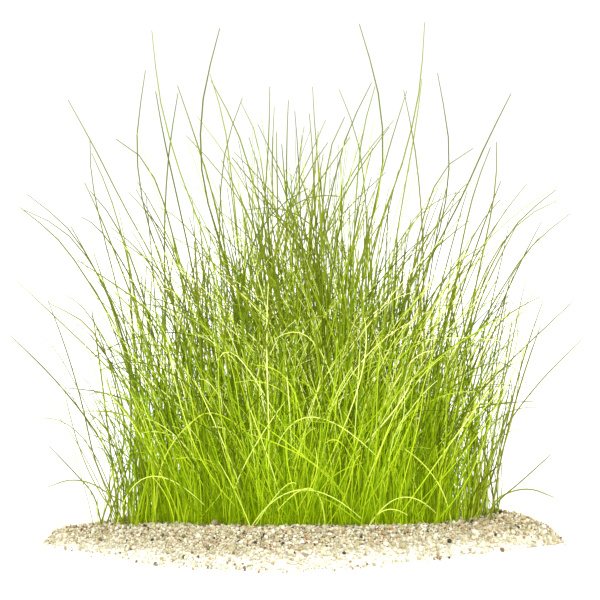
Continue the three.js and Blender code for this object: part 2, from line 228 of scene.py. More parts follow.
def guide_culms(node):
    """Centre lines of a tuft's culms, from foot to tip, and the middle of its crown.

    A culm in the frame ends in a point with three neighbours, and each ring of three
    points below it is the next station of the centre line, down to the crown.
    """
    points, triangles = frame_mesh(node)
    around = neighbours(triangles, len(points))
    crown = points[np.argmin(points[:, 2])]
    guides = []
    for tip, ring in enumerate(around):
        if len(ring) != RING_SIDES or any(len(around[i] & ring) < 2 for i in ring):
            continue
        stations = [points[tip]]
        seen = {tip}
        while len(ring) == RING_SIDES:
            stations.append(points[list(ring)].mean(axis=0))
            seen |= ring
            ring = set().union(*(around[i] for i in ring)) - seen
        if len(stations) > 2:
            foot = points[list(ring)].mean(axis=0)
            guides.append(smooth_line(np.array([foot] + stations[::-1]), GUIDE_POINTS))
    return guides, crown


def tuft_crowns():
    """The middle of every tuft's crown."""
    return np.array([guide_culms(node)[1] for node in TUFT_NODES])


# Ground

CAST_HEIGHT = 100 * MM
FURTHEST_RIM = 250 * MM
RIM_HALVINGS = 16

# Reach of the pocket in the bed under a crown, and the places round it that give its level
CROWN_POCKET = 5.5 * MM
POCKET_PLACES = 8


class Ground:
    """Level of the gravel, from the frame's bed with the pockets under the crowns closed."""

    def __init__(self, crowns):
        points, triangles = frame_mesh(BED_NODE)
        self.tree = BVHTree.FromPolygons(points.tolist(), triangles.tolist())
        self.crowns = crowns

    def cast(self, x, y):
        """Height of the frame's bed at a point, or None outside the bed."""
        hit = self.tree.ray_cast(Vector((x, y, CAST_HEIGHT)), Vector((0, 0, -1)))[0]
        return hit.z if hit else None

    def level(self, x, y):
        """Level of the gravel at a point, or None outside the bed."""
        gaps = np.hypot(self.crowns[:, 0] - x, self.crowns[:, 1] - y)
        if gaps.min() > CROWN_POCKET:
            return self.cast(x, y)
        cx, cy = self.crowns[np.argmin(gaps)][:2]
        turns = np.linspace(0, 2 * math.pi, POCKET_PLACES, endpoint=False)
        round_it = [self.cast(cx + CROWN_POCKET * math.cos(a), cy + CROWN_POCKET * math.sin(a))
                    for a in turns]
        return float(np.mean([z for z in round_it if z is not None]))

    def rim(self, angle):
        """Distance from the middle to the bed's rim in a direction."""
        near, far = 0.0, FURTHEST_RIM
        for _ in range(RIM_HALVINGS):
            reach = (near + far) / 2
            inside = self.cast(reach * math.cos(angle), reach * math.sin(angle)) is not None
            near, far = (reach, far) if inside else (near, reach)
        return near


# Culm meshes

CULM_SIDES = 5
CULM_RINGS = 15

# Length of a culm's point in radii of its last ring, and a direction that no culm runs in
POINT_LENGTH = 3
SIDEWAYS = np.array([0.3, 1.0, 0.1])


def normalized(vectors):
    """Vectors made one long, apart from those without a length."""
    return vectors / np.maximum(np.linalg.norm(vectors, axis=-1, keepdims=True), 1e-12)


def tubes(lines, radii):
    """Points and faces of pointed round tubes along lines of shape (n, rings, 3).

    Also gives the number of points of one tube.
    """
    count, rings, _ = lines.shape
    along = normalized(np.gradient(lines, axis=1))
    across = normalized(np.cross(along[:, 0], SIDEWAYS))
    turns = np.arange(CULM_SIDES) * 2 * math.pi / CULM_SIDES
    shells = []
    for i in range(rings):
        across = normalized(across - (across * along[:, i]).sum(-1, keepdims=True) * along[:, i])
        other = np.cross(along[:, i], across)
        ring = (across[:, None] * np.cos(turns)[None, :, None]
                + other[:, None] * np.sin(turns)[None, :, None])
        shells.append(lines[:, i, None] + ring * radii[:, i, None, None])
    points = np.stack(shells, axis=1).reshape(count, rings * CULM_SIDES, 3)
    tips = lines[:, -1] + along[:, -1] * radii[:, -1, None] * POINT_LENGTH
    points = np.concatenate([points, tips[:, None]], axis=1)
    per_culm = rings * CULM_SIDES + 1
    side = np.arange(CULM_SIDES)
    after = (side + 1) % CULM_SIDES
    band = np.stack([side, after, after + CULM_SIDES, side + CULM_SIDES], axis=1)
    quads = np.concatenate([band + i * CULM_SIDES for i in range(rings - 1)])
    top = (rings - 1) * CULM_SIDES
    caps = [[top + a, top + b, per_culm - 1] for a, b in zip(side, after)]
    caps.append(list(side[::-1]))
    faces = []
    for start in range(0, count * per_culm, per_culm):
        faces += (quads + start).tolist()
        faces += [[i + start for i in cap] for cap in caps]
    return points.reshape(-1, 3), faces, per_culm


def resampled(line, count):
    """The line with count points, spread evenly between its own."""
    at = np.linspace(0, len(line) - 1, count)
    low = np.minimum(at.astype(int), len(line) - 2)
    part = (at - low)[:, None]
    return line[low] * (1 - part) + line[low + 1] * part


# The stand

# A lens of ground that the culms rise from, a little below the gravel's level
STAND_LENGTH = 250 * MM
STAND_DEPTH = 90 * MM
STAND_TAPER = 0.65
FOOT_DEPTH = 1.5 * MM

# The frame's box is passed by this much at most
BOX_SPARE = 4 * MM

# Share of the filling culms that stand in the front rows, and where those rows begin.
# Beyond THIN_END from the middle the filling thins out, a little sooner on the left
FRONT_SHARE = 0.3
FRONT_ROWS = 0.78
THIN_END = 48 * MM
THINNING_OUT = 55 * MM
LEFT_THINNER = 1.15

# Heights of the filling culms and the share of them up to each height, how much taller the
# tallest are in the middle, and how much lower they are at the left end, at both ends and
# at the front and back
FILL_HEIGHTS = np.array([30, 70, 100, 122, 142, 152]) * MM
FILL_SHARES = np.array([0, 0.36, 0.68, 0.87, 0.96, 1])
MIDDLE_RISE = 38 * MM
MIDDLE_WIDTH = 36 * MM
LEFT_LOWER = 0.25
ENDS_LOWER = 0.08
SIDES_LOWER = 0.1

# How far the filling culms stray from upright, per height: along the stand for the lowest
# and the tallest, and across it, and the share of them that strays further
STRAY_ALONG = (0.12, 0.31)
STRAY_ACROSS = 0.11
WILD_SHARE = 0.3
WILD_STRAY = 1.7

# How far they lean outwards, per height, at the ends and at the front and back, and the
# distance from the middle beyond which this share of the lean is held back. How far they
# sway to and fro, per height
LEAN_ENDS = 0.1
LEAN_SIDES = 0.16
FILL_REACH = 122 * MM
HELD_BACK = 0.7
SWAY = 0.02

# Heights of the other culms, and how much lower they are at the stand's ends
FANNED_HEIGHTS = np.array([125, 232]) * MM
CROSSING_HEIGHTS = np.array([45, 195]) * MM
FINE_HEIGHTS = np.array([170, 240]) * MM
ARCHED_HEIGHTS = np.array([50, 195]) * MM
FANNED_ENDS_LOWER = 0.25
OTHER_ENDS_LOWER = 0.3

# Share of the fanned culms at the left that stand at the right instead, and how much more
# often they lean to the end that they are nearer to
MOVED_RIGHT = 0.4
OUTWARD = 0.7

# How far culms lean, per height: fanned ones to an end and across, crossing ones to an end,
# back from it and forward, fine ones along and across
FANNED_LEAN = (0.03, 0.44)
FANNED_ACROSS = 0.1
CROSSING_LEAN = (0.14, 0.66)
CROSSING_INWARD = 0.2
CROSSING_FORWARD = 0.12
FINE_LEAN = (0.15, 0.08)

# An arched culm bows over by a part of its height, or of this height if it is taller
ARCH_HEIGHT = 60 * MM
ARCH_REACH = (0.4, 0.9)

# How much of a culm's own tone shows at a height: near the gravel all are fresh green,
# but less so at the stand's ends; and how much paler the culms at the back are, a painted
# light that brightens the shaded back of the stand
FRESH_TONE = 0.39
TONE_HEIGHTS = np.array([20, 110]) * MM
TONE_SHARES = (0.45, 1.25)
END_TONE_SHARE = 0.4
BACK_PAINTED_LIGHT = 0.25

# The palest tone of a culm by its height, and how much darker the stand's ends are
PALE_HEIGHTS = np.array([90, 170]) * MM
PALEST = np.array([1.0, 0.86])
END_SHADE = 0.18

# Where a culm turns olive with age: from its lower to its upper height, a darkening that is
# partly ageing of the tips and partly painted shade on the upper culms, and from its nearer
# to its further distance from the stand's middle, where young ones do so too
OLIVE_HEIGHTS = np.array([80, 190]) * MM
OLIVE_REACH = np.array([90, 140]) * MM
LEAST_OLIVE = 0.65

# How far the listed culms lean out in front of the stand, per height. From the lower to
# the upper of two heights of their bend, they rise further and further inside the stand,
# up to this part of the way to its front edge
FORWARD = 0.15
INNER_HEIGHTS = np.array([45, 65]) * MM
INNER_ROW = 0.3

# How far in front of that edge their foot, bend and tip are, and how far along them the
# bend can be
FOOT_AHEAD = 1 * MM
BEND_AHEAD = 3 * MM
TIP_AHEAD = 5 * MM
BEND_SHARES = (0.3, 0.75)

# How far the foot of a culm of the frame is moved on the ground, at most
FOOT_SPREAD = 7 * MM

# Where along a culm its width is given: at its foot, above it, at half its length, near its
# tip and at it, and the parts of the foot's and the middle's width that are left there
WIDTH_PLACES = np.array([0, 0.12, 0.5, 0.85, 1])
ABOVE_FOOT = 0.92
NEAR_TIP = 0.86

# How much more a culm is aged at the stand's ends, and how yellow culms are: the mean, the
# spread, how much more at the ends, and the most
END_AGEING = 1.5
WARMTH = 0.45
WARMTH_SPREAD = 0.17
END_WARMTH = 0.25
MOST_WARMTH = 0.9

# Single culms that stand out in front of the others, mm: foot x, bend x and z, tip x
# and z, and the tone, from 0 for dark to 1 for pale
FRONT_CULMS = [
    (-30, 0, 42, 36, 24, 0.85),
    (-28, -6, 46, -2, 46, 0.8),
    (15, 5, 43, -13, 30, 0.8),
    (40, 61, 35, 81, 24, 0.85),
    (40, 52, 28, 64, 24, 0.8),
    (-111, -87, 46, -57, 31, 0.85),
    (-75, -82, 38, -89, 47, 0.75),
    (38, 2, 63, -24, 83, 0.7),
    (32, 4, 61, -29, 76, 0.7),
    (-30, -46, 71, -62, 107, 0.85),
    (-29, -40, 43, -48, 58, 0.8),
    (-44, -31, 60, -9, 96, 0.85),
    (-9, -19, 62, -31, 95, 0.85),
    (-22, 12, 86, 45, 62, 0.85),
    (41, 22, 72, 15, 71, 0.75),
    (6, 24, 53, 37, 58, 0.55),
    (30, 44, 57, 60, 98, 0.8),
    (91, 77, 50, 62, 65, 0.8),
    (58, 73, 80, 77, 79, 0.05),
    (118, 95, 75, 83, 65, 0.05),
    (100, 111, 43, 121, 51, 0.0),
    (101, 111, 36, 120, 42, 0.2),
    (-83, -114, 94, -127, 93, 0.4),
    (-82, -107, 88, -116, 87, 0.5),
    (-96, -101, 71, -112, 84, 0.1),
    (-96, -102, 68, -105, 67, 0.1),
    (-85, -73, 71, -59, 86, 0.8),
    (25, 6, 192, 2, 191, 0.0),
    (-26, -9, 168, 7, 179, 0.15),
    (-18, 1, 142, 19, 148, 0.35),
    (32, 2, 137, -15, 134, 0.85),
    (-15, 5, 99, 18, 102, 0.3),
    (-19, -2, 131, 3, 125, 0.25),
    (0, -10, 112, -25, 118, 0.75),
    (22, 7, 135, -5, 143, 0.15),
    (-21, -28, 150, -44, 153, 0.2),
    (-46, -55, 158, -72, 163, 0.3),
    (27, 38, 141, 52, 147, 0.3),
    (27, 37, 112, 52, 118, 0.4),
    (24, 2, 206, -31, 211, 0.15),
    (-38, -6, 212, 23, 219, 0.2),
    (38, 5, 192, -38, 245, 0.2),
    (-14, -42, 170, -73, 192, 0.3),
    (30, 56, 172, 75, 194, 0.35),
    (18, 36, 183, 53, 210, 0.3),
    (-30, -6, 210, 16, 251, 0.25),
]

# A culm's centre line, its tone from 0 for dark to 1 for pale, its age from 0 to 1, and its
# width in parts of the width that is set
Culm = namedtuple("Culm", "line tone age width")


def stand_end(x):
    """How far along the stand a place lies: -1 at its left end, 1 at its right end."""
    return x / (STAND_LENGTH / 2)


def stand_side(y):
    """How far back a place lies in the stand: -1 at its front, 1 at its back."""
    return y / (STAND_DEPTH / 2)


def stand_share(x, y):
    """How far out a point lies in the stand: 0 in the middle, 1 at its edge."""
    u, v = stand_end(x), stand_side(y)
    return STAND_TAPER * abs(v) + math.hypot(u, (1 - STAND_TAPER) * v)


def stand_point(rng, low, high, front):
    """A random place between two shares of the stand, if asked in its front half."""
    while True:
        x = rng.uniform(-0.5, 0.5) * STAND_LENGTH
        y = rng.uniform(-0.5, 0.0 if front else 0.5) * STAND_DEPTH
        if low <= stand_share(x, y) <= high:
            return x, y


def front_edge(x):
    """The stand's front edge at a place along its length, where stand_share is 1."""
    u = min(abs(stand_end(x)), 1)
    k = 2 * STAND_TAPER - 1
    return -STAND_DEPTH / 2 * (STAND_TAPER - math.sqrt(STAND_TAPER**2 - k * (1 - u * u))) / k


def rooted(x, y, ground):
    """The foot of a culm at a place, a little way down in the gravel."""
    return np.array([x, y, (ground.level(x, y) or 0) - FOOT_DEPTH])


def curved(foot, pull, tip):
    """A line from foot to tip that is drawn towards pull, and the place along it."""
    t = np.linspace(0, 1, GUIDE_POINTS)[:, None]
    return (1 - t) ** 2 * foot + 2 * t * (1 - t) * pull + t**2 * tip, t


def bowed(foot, lean, height, bow, rise, droop):
    """A culm that rises from its foot and leans over, with its tip hanging by droop.

    It is drawn towards a point that has the share bow of its lean and the share rise of
    its height.
    """
    tip = foot + np.array([lean[0], lean[1], height])
    bend = foot + np.array([lean[0] * bow, lean[1] * bow, height * rise])
    line, t = curved(foot, bend, tip)
    line[:, 2] -= droop * t[:, 0] ** 5
    return line


def with_tones(line, tone, shares=None):
    """A culm's line with its tone at each point as a fourth column."""
    if shares is None:
        end, side = stand_end(line[0, 0]), stand_side(line[0, 1])
        lowest = TONE_SHARES[0] + END_TONE_SHARE * end**2
        shares = np.interp(line[:, 2], TONE_HEIGHTS, (lowest, TONE_SHARES[1]))
        # Culms at the back are made paler: painted light on the shaded back of the stand
        tone = tone + BACK_PAINTED_LIGHT * max(side, 0)
    tones = FRESH_TONE + (tone - FRESH_TONE) * shares
    return np.column_stack([line, tones])


def filling_culm(rng, ground):
    """A culm of the mass of the stand, lower and sparser towards its ends."""
    front = rng.random() < FRONT_SHARE
    while True:
        x, y = stand_point(rng, low=FRONT_ROWS if front else 0, high=1, front=front)
        beyond = max(abs(x) * (1 if x > 0 else LEFT_THINNER) - THIN_END, 0)
        if rng.random() < math.exp(-beyond / THINNING_OUT):
            break
    foot = rooted(x, y, ground)
    end, side = stand_end(x), stand_side(y)
    rank = rng.random()
    height = np.interp(rank, FILL_SHARES, FILL_HEIGHTS)
    height += MIDDLE_RISE * math.exp(-(x / MIDDLE_WIDTH) ** 2) * rank**2
    height *= 1 + LEFT_LOWER * min(end, 0) - ENDS_LOWER * end**2 - SIDES_LOWER * side**2
    stray = rng.normal(0, (np.interp(rank, (0, 1), STRAY_ALONG), STRAY_ACROSS), 2)
    if rng.random() < WILD_SHARE:
        stray = stray * WILD_STRAY
    lean = height * (stray + np.array([LEAN_ENDS * end * abs(end), LEAN_SIDES * side * abs(side)]))
    beyond = max(abs(x + lean[0]) - FILL_REACH, 0)
    lean[0] -= HELD_BACK * beyond * np.sign(x + lean[0])
    droop = height * rng.uniform(0, 0.6) * np.linalg.norm(stray) ** 1.2
    line = bowed(foot, lean, height, bow=rng.uniform(-0.6, 1.1), rise=rng.uniform(0.4, 0.65),
                 droop=droop)
    sway = np.sin(np.linspace(0, 2 * math.pi, GUIDE_POINTS))[:, None]
    line[:, :2] += sway * rng.normal(0, SWAY * height, 2)
    tone = min(rng.beta(0.9, 1.1) + 0.1 * side, 0.95)
    return Culm(line, tone, age=rng.uniform(0, 0.65), width=rng.uniform(0.54, 0.9))


def fanned_culm(rng, ground):
    """A tall culm that fans out, mostly towards the nearer end of the stand."""
    x, y = stand_point(rng, low=0, high=0.85, front=False)
    if x < 0 and rng.random() < MOVED_RIGHT:
        x = -x
    foot = rooted(x, y, ground)
    end = stand_end(x)
    way = 1 if rng.random() < 0.5 + OUTWARD * end else -1
    height = rng.uniform(*FANNED_HEIGHTS) * (1 - FANNED_ENDS_LOWER * end**2)
    reach = height * rng.uniform(*FANNED_LEAN)
    lean = np.array([way * reach, height * rng.normal(0, FANNED_ACROSS)])
    line = bowed(foot, lean, height, bow=rng.uniform(-0.3, 0.7), rise=rng.uniform(0.42, 0.66),
                 droop=reach * rng.uniform(0, 0.5))
    tone = 0.62 * rng.beta(1.2, 2.2)
    return Culm(line, tone, age=rng.uniform(0.4, 1), width=rng.uniform(0.75, 1.05))


def crossing_culm(rng, ground):
    """A thin young culm near the front that leans across its neighbours."""
    x, y = stand_point(rng, low=0.35, high=1, front=True)
    foot = rooted(x, y, ground)
    end = stand_end(x)
    height = np.interp(rng.random() ** 1.15, (0, 1), CROSSING_HEIGHTS)
    height *= 1 - OTHER_ENDS_LOWER * end**2
    across = rng.choice((-1, 1)) * rng.uniform(*CROSSING_LEAN) * height
    inward = -CROSSING_INWARD * end * height
    lean = np.array([across + inward, -rng.uniform(0.0, CROSSING_FORWARD) * height])
    line = bowed(foot, lean, height, bow=rng.uniform(-0.2, 0.6), rise=rng.uniform(0.45, 0.66),
                 droop=height * rng.uniform(0, 0.14))
    tone = 0.98 * rng.beta(0.8, 0.72)
    return Culm(line, tone, age=rng.uniform(0, 0.9), width=rng.uniform(0.46, 0.72))


def fine_culm(rng, ground):
    """A thin upright culm, one of the tall ones in the middle of the stand."""
    x, y = stand_point(rng, low=0, high=0.38, front=False)
    foot = rooted(x, y, ground)
    height = rng.uniform(*FINE_HEIGHTS)
    lean = rng.normal(0, FINE_LEAN, 2) * height
    line = bowed(foot, lean, height, bow=rng.uniform(0, 0.4), rise=0.5, droop=0)
    tone = rng.uniform(0.2, 0.7)
    return Culm(line, tone, age=rng.uniform(0, 1), width=rng.uniform(0.5, 0.75))


def arched_culm(rng, ground):
    """An old culm that rises and bows over to one side, with its tip hanging a little."""
    x, y = stand_point(rng, low=0.55, high=1, front=rng.random() < 0.75)
    foot = rooted(x, y, ground)
    height = rng.uniform(*ARCHED_HEIGHTS) * (1 - OTHER_ENDS_LOWER * stand_end(x) ** 2)
    heading = rng.choice((0, math.pi)) + rng.normal(0, 0.35)
    reach = rng.uniform(*ARCH_REACH) * min(height, ARCH_HEIGHT)
    lean = reach * np.array([math.cos(heading), math.sin(heading)])
    droop = rng.uniform(0.0, 0.35) * reach
    line = bowed(foot, lean, height, bow=rng.uniform(-0.1, 0.3), rise=rng.uniform(0.65, 0.9),
                 droop=droop)
    tone = rng.beta(1.1, 1.5)
    return Culm(line, tone, age=rng.uniform(0.3, 1), width=rng.uniform(0.65, 0.9))


def front_culm(rng, row, ground):
    """One of the listed culms, in front of the stand's front row; the pale are thinner."""
    foot_x, bend_x, bend_z, tip_x, tip_z = [value * MM for value in row[:5]]
    tone = row[5]
    row_share = np.interp(bend_z, INNER_HEIGHTS, (1, INNER_ROW))
    foot = rooted(foot_x, front_edge(foot_x) * row_share - FOOT_AHEAD, ground)
    bend = np.array([bend_x, front_edge(bend_x) - BEND_AHEAD - FORWARD * bend_z, bend_z])
    tip = np.array([tip_x, front_edge(tip_x) - TIP_AHEAD - FORWARD * tip_z, tip_z])
    lower = np.linalg.norm(bend - foot)
    share = np.clip(lower / (lower + np.linalg.norm(tip - bend)), *BEND_SHARES)
    pull = (bend - (1 - share) ** 2 * foot - share**2 * tip) / (2 * share * (1 - share))
    line, _ = curved(foot, pull, tip)
    dark = tone < 0.5
    width = rng.uniform(0.95, 1.15) if dark else rng.uniform(0.68, 0.86)
    return Culm(with_tones(line, tone, np.ones(len(line))), tone, age=float(dark), width=width)


def guide_culm(rng, guide):
    """A culm of the frame, one of the older and stouter ones that make the outline."""
    line = spread_foot(rng, guide)
    tone = 0.1 + 0.38 * rng.beta(1.3, 2.0)
    line = with_tones(line, tone)
    return Culm(line, tone, age=rng.uniform(0.5, 1), width=rng.uniform(0.95, 1.3))


def olive_shares(rows, ages):
    """How far each culm has turned olive at each of its points, for its age; partly painted shade.
    """
    high = np.interp(rows[:, :, 2], OLIVE_HEIGHTS, (0, 1))
    far = np.interp(np.abs(rows[:, :, 0]), OLIVE_REACH, (0, 1))
    ages = ages[:, None]
    shares = np.clip(np.maximum(high * ages, far * np.maximum(ages, LEAST_OLIVE)), 0, 1)
    return np.column_stack([np.repeat(shares, CULM_SIDES, axis=1), shares[:, -1]])


def inside_box(line):
    """Whether a culm stays in the frame's own box or close to it."""
    low, high = np.array(CAD_BOX[0]), np.array(CAD_BOX[1])
    return bool((line >= low - BOX_SPARE).all() and (line <= high + BOX_SPARE).all())


def grown(rng, ground, settings):
    """All culms that the frame doesn't carry, their lines with tones."""
    culms = [front_culm(rng, row, ground) for row in FRONT_CULMS]
    for maker, count in ((filling_culm, settings.filling), (fanned_culm, settings.fanned),
                         (crossing_culm, settings.crossing), (fine_culm, settings.fine),
                         (arched_culm, settings.arched)):
        goal = len(culms) + count
        while len(culms) < goal:
            culm = maker(rng, ground)
            if inside_box(culm.line):
                tone = min(culm.tone, np.interp(culm.line[-1, 2], PALE_HEIGHTS, PALEST))
                tone *= 1 - END_SHADE * stand_end(culm.line[0, 0]) ** 2
                culms.append(culm._replace(line=with_tones(culm.line, tone)))
    return culms


def spread_foot(rng, guide):
    """The guide with its foot moved a little, so that a tuft's culms don't rise as one."""
    angle = rng.random() * 2 * math.pi
    reach = FOOT_SPREAD * math.sqrt(rng.random())
    shift = np.array([reach * math.cos(angle), reach * math.sin(angle), 0])
    return guide + shift * (1 - np.linspace(0, 1, len(guide))[:, None]) ** 3


def culm_radii(shares, settings):
    """Radius at each ring: widest at the foot, even over the middle, thin at the tip."""
    at = np.linspace(0, 1, CULM_RINGS)
    widths = np.array([settings.foot_width, settings.foot_width * ABOVE_FOOT, settings.width,
                       settings.width * NEAR_TIP, settings.tip_width])
    base = np.interp(at, WIDTH_PLACES, widths) / 2
    return base[None, :] * np.array(shares)[:, None]


# Materials

# Places of a colour mix node's colour sockets among its sockets
MIX_A, MIX_B, MIX_RESULT = 6, 7, 2

# What the culms' colours are multiplied by, from the greenest to the yellowest
GREENEST = (0.88, 1.02, 0.9, 1)
YELLOWEST = (1.1, 0.98, 1.2, 1)


def add_node(tree, kind, settings=None, links=None):
    """Adds a node, sets its inputs or properties, and joins its inputs to sockets."""
    node = tree.nodes.new(kind)
    for key, value in (settings or {}).items():
        if isinstance(key, int) or key in node.inputs:
            node.inputs[key].default_value = value
        else:
            setattr(node, key, value)
    for key, socket in (links or {}).items():
        tree.links.new(socket, node.inputs[key])
    return node


def new_material(name):
    """A material without nodes, and its node tree."""
    material = bpy.data.materials.new(name)
    material.use_nodes = True
    material.node_tree.nodes.clear()
    return material, material.node_tree


def finish_material(tree, surface):
    """Joins the surface to the material's output."""
    add_node(tree, "ShaderNodeOutputMaterial", links={"Surface": surface.outputs["BSDF"]})


def set_ramp(node, stops, interpolation="LINEAR"):
    """Fills a colour ramp with (place, linear colour) stops."""
    ramp = node.color_ramp
    ramp.interpolation = interpolation
    while len(ramp.elements) < len(stops):
        ramp.elements.new(1)
    for element, (place, colour) in zip(ramp.elements, stops):
        element.position = place
        element.color = (*colour, 1)


def per_metre(size_mm):
    """Scale of a pattern whose features are size_mm apart."""
    return 1 / (size_mm * MM)


def culm_material(settings):
    """Living sedge culm, grown: a smooth waxy skin over soft pith.

    The skin gives a faint satin highlight. The pith lets light through, so culms look
    brighter than their shade, and a little glow stands for that. The skin is mottled
    every 9 mm. Its ribs are too fine to show, so they are drawn 0.35 mm apart.
    """
    material, tree = new_material("living_sedge_culm_waxy")
    place = add_node(tree, "ShaderNodeTexCoord").outputs["Object"]
    tone, olive, warmth = (
        add_node(tree, "ShaderNodeAttribute", {"attribute_name": name}).outputs["Fac"]
        for name in ("tone", "olive", "warmth"))
    ramp = add_node(tree, "ShaderNodeValToRGB", links={"Fac": tone})
    set_ramp(ramp, [
        (0.0, settings.shade_colour),
        (0.4, settings.green_colour),
        (0.75, settings.young_colour),
        (1.0, settings.pale_colour),
    ])
    mottle = add_node(tree, "ShaderNodeTexNoise", {"Scale": per_metre(9), "Detail": 3.0},
                      {"Vector": place})
    spread = add_node(tree, "ShaderNodeMapRange", {"To Min": 0.8, "To Max": 1.2},
                      {"Value": mottle.outputs["Fac"]})
    varied = add_node(tree, "ShaderNodeVectorMath", {"operation": "MULTIPLY"},
                      {0: ramp.outputs["Color"], 1: spread.outputs["Result"]})
    tips = add_node(tree, "ShaderNodeValToRGB", links={"Fac": tone})
    set_ramp(tips, [
        (0.0, settings.dark_tip_colour),
        (0.45, settings.olive_tip_colour),
        (0.95, settings.straw_tip_colour),
    ])
    # Mix to the tip colours: ageing, and painted shade where it grows with height
    aged = add_node(tree, "ShaderNodeMix", {"data_type": "RGBA"}, {
        "Factor": olive, MIX_A: varied.outputs["Vector"], MIX_B: tips.outputs["Color"]})
    hue = add_node(tree, "ShaderNodeMix", {
        "data_type": "RGBA", MIX_A: GREENEST, MIX_B: YELLOWEST}, {"Factor": warmth})
    tinted = add_node(tree, "ShaderNodeVectorMath", {"operation": "MULTIPLY"},
                      {0: aged.outputs[MIX_RESULT], 1: hue.outputs[MIX_RESULT]}).outputs["Vector"]
    ribs = add_node(tree, "ShaderNodeTexNoise", {"Scale": per_metre(0.35), "Detail": 2.0},
                    {"Vector": place})
    bump = add_node(tree, "ShaderNodeBump", {"Strength": 0.15, "Distance": 0.05 * MM},
                    {"Height": ribs.outputs["Fac"]})
    surface = add_node(tree, "ShaderNodeBsdfPrincipled", {
        "Roughness": 0.45, "IOR": 1.42, "Specular IOR Level": 0.14, "Emission Strength": 0.42,
    }, {"Base Color": tinted, "Emission Color": tinted, "Normal": bump.outputs["Normal"]})
    finish_material(tree, surface)
    return material


# Tones of gravel, each with the share of the grains before it: dark slate, then sandstone,
# limestone and quartz
GRAIN_TONES = [(share, linear(code)) for share, code in (
    (0.00, "#332c24"), (0.03, "#6f7040"), (0.04, "#7d5e3e"), (0.07, "#a4764a"),
    (0.10, "#a19272"), (0.20, "#bba57e"), (0.30, "#b6ae86"), (0.45, "#cbbf97"),
    (0.60, "#c8c1a5"), (0.74, "#dbd4b8"), (0.88, "#e9e5d6"),
)]
# White of the painted light on the thin front of the bed
PAINTED_LIGHT_WHITE = (*linear("#fbf9f1"), 1)


def gravel_material():
    """River gravel, tumbled: mixed quartz and limestone grains with dull broken faces.

    Each grain has one tone, with speckles half a millimetre apart.
    """
    material, tree = new_material("river_gravel_tumbled")
    place = add_node(tree, "ShaderNodeTexCoord").outputs["Object"]
    tone = add_node(tree, "ShaderNodeAttribute", {"attribute_name": "tone"}).outputs["Fac"]
    ramp = add_node(tree, "ShaderNodeValToRGB", links={"Fac": tone})
    set_ramp(ramp, GRAIN_TONES, "CONSTANT")
    speckle = add_node(tree, "ShaderNodeTexNoise", {"Scale": per_metre(0.5), "Detail": 4.0},
                       {"Vector": place})
    spread = add_node(tree, "ShaderNodeMapRange", {"To Min": 0.78, "To Max": 1.16},
                      {"Value": speckle.outputs["Fac"]})
    varied = add_node(tree, "ShaderNodeVectorMath", {"operation": "MULTIPLY"},
                      {0: ramp.outputs["Color"], 1: spread.outputs["Result"]})
    bump = add_node(tree, "ShaderNodeBump", {"Strength": 0.4, "Distance": 0.1 * MM},
                    {"Height": speckle.outputs["Fac"]})
    surface = add_node(tree, "ShaderNodeBsdfPrincipled", {"Roughness": 0.7, "IOR": 1.52},
                       {"Base Color": varied.outputs["Vector"], "Normal": bump.outputs["Normal"]})
    finish_material(tree, surface)
    return material


def bed_material():
    """River gravel, packed: what shows between the top grains, in cells of 1.3 mm.

    It is painted near white where the bed thins out at its front: painted light, as on the grains
    there.
    """
    material, tree = new_material("river_gravel_packed")
    place = add_node(tree, "ShaderNodeTexCoord").outputs["Object"]
    cells = add_node(tree, "ShaderNodeTexVoronoi", {"Scale": per_metre(1.3)}, {"Vector": place})
    level = add_node(tree, "ShaderNodeSeparateColor", links={"Color": cells.outputs["Color"]})
    ramp = add_node(tree, "ShaderNodeValToRGB", links={"Fac": level.outputs["Red"]})
    set_ramp(ramp, GRAIN_TONES, "CONSTANT")
    thin = add_node(tree, "ShaderNodeAttribute", {"attribute_name": "thin"}).outputs["Fac"]
    # Painted light: the thin front of the bed is mixed towards white
    paled = add_node(tree, "ShaderNodeMix", {"data_type": "RGBA", MIX_B: PAINTED_LIGHT_WHITE},
                     {"Factor": thin, MIX_A: ramp.outputs["Color"]})
    dome = add_node(tree, "ShaderNodeMath", {"operation": "MULTIPLY", 1: -1.0},
                    {0: cells.outputs["Distance"]})
    bump = add_node(tree, "ShaderNodeBump", {"Strength": 0.8, "Distance": 0.5 * MM},
                    {"Height": dome.outputs["Value"]})
    surface = add_node(tree, "ShaderNodeBsdfPrincipled", {"Roughness": 0.85, "IOR": 1.52},
                       {"Base Color": paled.outputs[MIX_RESULT], "Normal": bump.outputs["Normal"]})
    finish_material(tree, surface)
    return material


def board_material():
    """White board, painted matt: an even pale ground without a highlight."""
    material, tree = new_material("white_board_painted_matt")
    surface = add_node(tree, "ShaderNodeBsdfPrincipled",
                       {"Base Color": (0.93, 0.93, 0.93, 1), "Roughness": 0.9})
    finish_material(tree, surface)
    return material


# Gravel meshes

# The packed bed: its mesh, which ends just inside the rim, and how far it lies below the
# frame's bed so that the top grains cover it
BED_SECTORS = 192
BED_STEPS = 48
INSIDE_RIM = 0.999
BED_SINK = 0.35 * MM

# The bed is thin up to RIM_LEVEL and deep a further THINNING up. Its front fades over
# FRONT_REACH, where painted light turns all grains but a few pale
RIM_LEVEL = 1.2 * MM
THINNING = 10 * MM
FRONT_REACH = 30 * MM
MOST_PAINTED_LIGHT = 0.86
UNPAINTED_SHARE = 0.2

# Share of the crowns' reach that is under the grass, and the share of the places along the
# rim that stay empty
UNDER_GRASS = 0.85
EMPTY_AT_RIM = 0.6

# How strongly the strays keep to the rim: those at it and those further out, and the tones
# of the latter
RIM_PULL = 3.0
FAR_PULL = 0.7
FAR_TONES = (0, 0.5)

